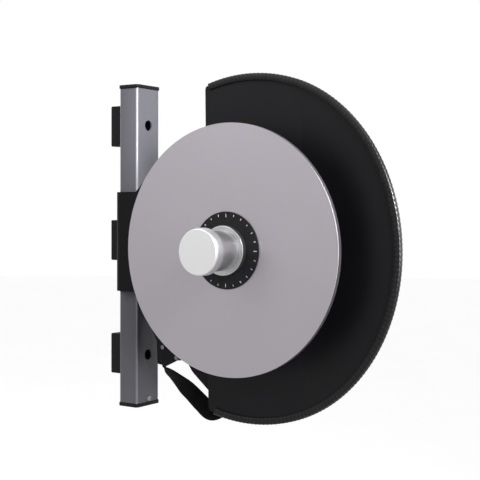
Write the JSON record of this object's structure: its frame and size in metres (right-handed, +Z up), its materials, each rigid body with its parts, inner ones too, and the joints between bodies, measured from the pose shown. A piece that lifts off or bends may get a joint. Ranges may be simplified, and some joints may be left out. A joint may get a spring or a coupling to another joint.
{
  "type": "flywheel trainer",
  "caption": "Wall-mounted flywheel trainer: post on pads, clamped sliding carriage, bare disc flywheel with a locking knob, bent D-shaped guard and a pull strap.",
  "frame": {"origin": "centre of the middle wall pad's wall face", "axes": "+X away from the wall, +Z up, the flywheel faces -Y"},
  "size_m": [0.5064, 0.2284, 0.4908],
  "materials": {
    "grey_paint": "grey metallic paint, satin",
    "cap_plastic": "black moulded plastic",
    "fastener_steel": "bright zinc-plated steel",
    "carriage_black": "black powder coat",
    "glide_plastic": "pale natural plastic",
    "bearing_steel": "ground bearing and spring steel",
    "guard_black": "dark grey powder coat on sheet",
    "trim_rubber": "black extruded rubber",
    "roller_plastic": "black bearing plastic",
    "carabiner_steel": "bright plated steel wire",
    "strap_webbing": "black woven webbing",
    "shaft_steel": "turned and ground steel",
    "disc_aluminium": "satin aluminium, finely brushed",
    "hub_ring_black": "black anodised ring with plain white ticks",
    "knob_aluminium": "satin turned aluminium",
    "spool_plastic": "black filled plastic",
    "knob_plastic": "black moulded plastic"
  },
  "bodies": {
    "rail": {"post_tube": "grey_paint", "top_cap": "cap_plastic", "bottom_cap": "cap_plastic", "stop_screw": "fastener_steel", "wall_pad_top": "cap_plastic", "wall_pad_middle": "cap_plastic", "wall_pad_bottom": "cap_plastic", "wall_bolt_top": "fastener_steel", "wall_bolt_bottom": "fastener_steel"},
    "carriage": {"sleeve": "carriage_black", "glide_near": "glide_plastic", "glide_far": "glide_plastic", "near_plate": "carriage_black", "far_plate": "carriage_black", "front_housing": "carriage_black", "rear_housing": "carriage_black", "front_screw_1": "fastener_steel", "front_screw_2": "fastener_steel", "front_screw_3": "fastener_steel", "rear_screw_1": "fastener_steel", "rear_screw_2": "fastener_steel", "rear_screw_3": "fastener_steel", "front_bearing_outer": "bearing_steel", "rear_bearing_outer": "bearing_steel", "guard_sheet": "guard_black", "guard_trim": "trim_rubber", "guard_nut": "fastener_steel", "upper_axle": "fastener_steel", "lower_axle": "fastener_steel", "plate_bar": "fastener_steel", "clamp_boss": "carriage_black", "pull_strap": "strap_webbing", "carabiner_body": "carabiner_steel"},
    "flywheel": {"shaft": "shaft_steel", "front_bearing_inner": "bearing_steel", "rear_bearing_inner": "bearing_steel", "drive_flange": "shaft_steel", "drive_pin_1": "shaft_steel", "drive_pin_2": "shaft_steel", "drive_pin_3": "shaft_steel", "flywheel_disc": "disc_aluminium", "hub_ring": "hub_ring_black", "knob_collar": "knob_aluminium", "spring_retainer": "bearing_steel", "locking_ball_1": "bearing_steel", "locking_ball_2": "bearing_steel", "locking_ball_3": "bearing_steel", "spool": "spool_plastic", "strap_roll": "strap_webbing", "shaft_nut": "fastener_steel", "knob_spring": "bearing_steel"},
    "lock_knob": {"grip_sleeve": "knob_aluminium", "grip_head": "knob_aluminium"},
    "guide_roller_upper": {"upper_roller": "roller_plastic"},
    "guide_roller_lower": {"lower_roller": "roller_plastic"},
    "gate": {"carabiner_gate": "carabiner_steel"},
    "pressure_pad": {"clamp_pad": "glide_plastic"},
    "clamp_handle": {"clamp_knob": "knob_plastic", "clamp_stud": "fastener_steel"}
  },
  "joints": [
    {"name": "carriage_slide", "type": "slide", "parent": "rail", "child": "carriage", "axis": [0, 0, 1], "range_m": [-0.15, 0.15]},
    {"name": "flywheel_spin", "type": "hinge", "parent": "carriage", "child": "flywheel", "pos_m": [0.266, 0, -0.0072], "axis": [0, -1, 0], "continuous": true},
    {"name": "knob_pull", "type": "slide", "parent": "flywheel", "child": "lock_knob", "axis": [0, -1, 0], "range_m": [0, 0.006], "stiffness_N_per_m": 1500, "springref_m": -0.004, "deforming": ["knob_spring"]},
    {"name": "upper_roller_spin", "type": "hinge", "parent": "carriage", "child": "guide_roller_upper", "pos_m": [0.11579, 0, -0.15388], "axis": [0, -1, 0], "continuous": true},
    {"name": "lower_roller_spin", "type": "hinge", "parent": "carriage", "child": "guide_roller_lower", "pos_m": [0.14081, 0, -0.16712], "axis": [0, -1, 0], "continuous": true},
    {"name": "gate_open", "type": "hinge", "parent": "carriage", "child": "gate", "pos_m": [0.271, 0, -0.1426], "axis": [0, -1, 0], "range_deg": [0, 22], "stiffness_Nm_per_rad": 0.06, "springref_deg": -20.05},
    {"name": "pad_press", "type": "slide", "parent": "carriage", "child": "pressure_pad", "axis": [0, 1, 0], "range_m": [0, 0.00125]},
    {"name": "clamp_turn", "type": "hinge", "parent": "pressure_pad", "child": "clamp_handle", "pos_m": [0.0415, 0, -0.0015], "axis": [0, 1, 0], "range_deg": [0, 360]}
  ],
  "couplings": [
    {"joint": "clamp_turn", "follows": "pad_press", "rad_per_m": 5026.5}
  ]
}
